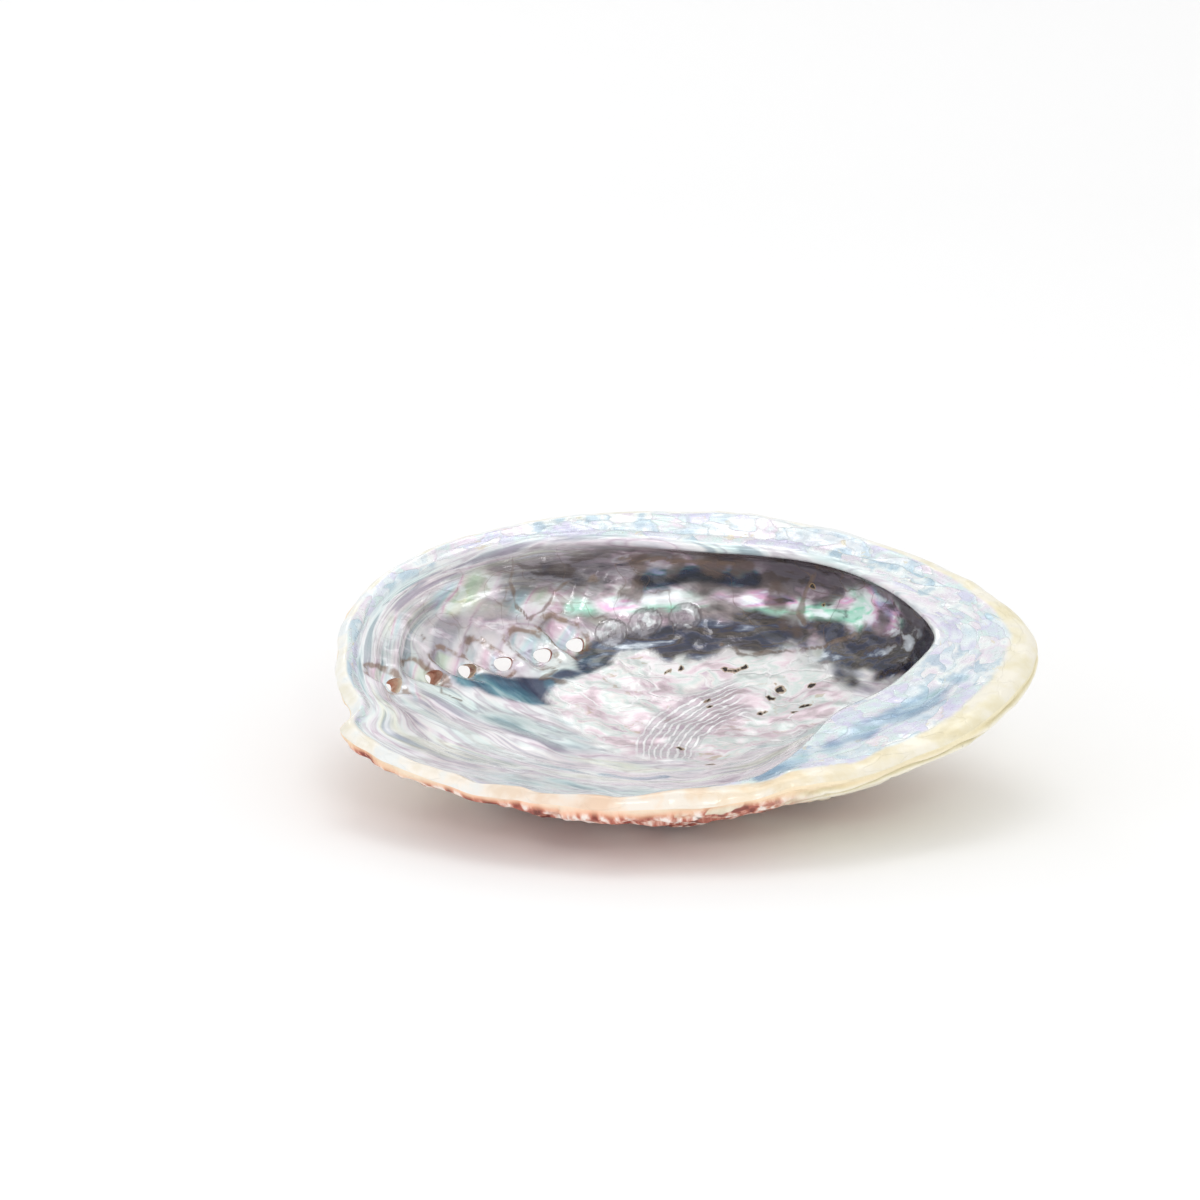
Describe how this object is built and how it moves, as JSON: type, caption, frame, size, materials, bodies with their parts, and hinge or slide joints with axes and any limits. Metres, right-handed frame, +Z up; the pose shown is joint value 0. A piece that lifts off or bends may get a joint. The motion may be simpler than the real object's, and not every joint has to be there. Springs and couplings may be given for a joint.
{
  "type": "abalone shell",
  "caption": "Ear-shaped abalone shell lying on its back, mouth up, with a curved shelf at the coiled end and breathing pores along the keel.",
  "frame": {"origin": "middle of the shell's plan outline, on the surface it rests on", "axes": "+X along the length towards the coiled end, +Y towards the side with the shelf and pores, +Z up out of the mouth"},
  "size_m": [0.1504, 0.1072, 0.0471],
  "materials": {
    "shell": "glossy mother-of-pearl inside, rough cream and brick-red crust on the back"
  },
  "bodies": {
    "root": {"abalone_shell": "shell"}
  },
  "joints": []
}
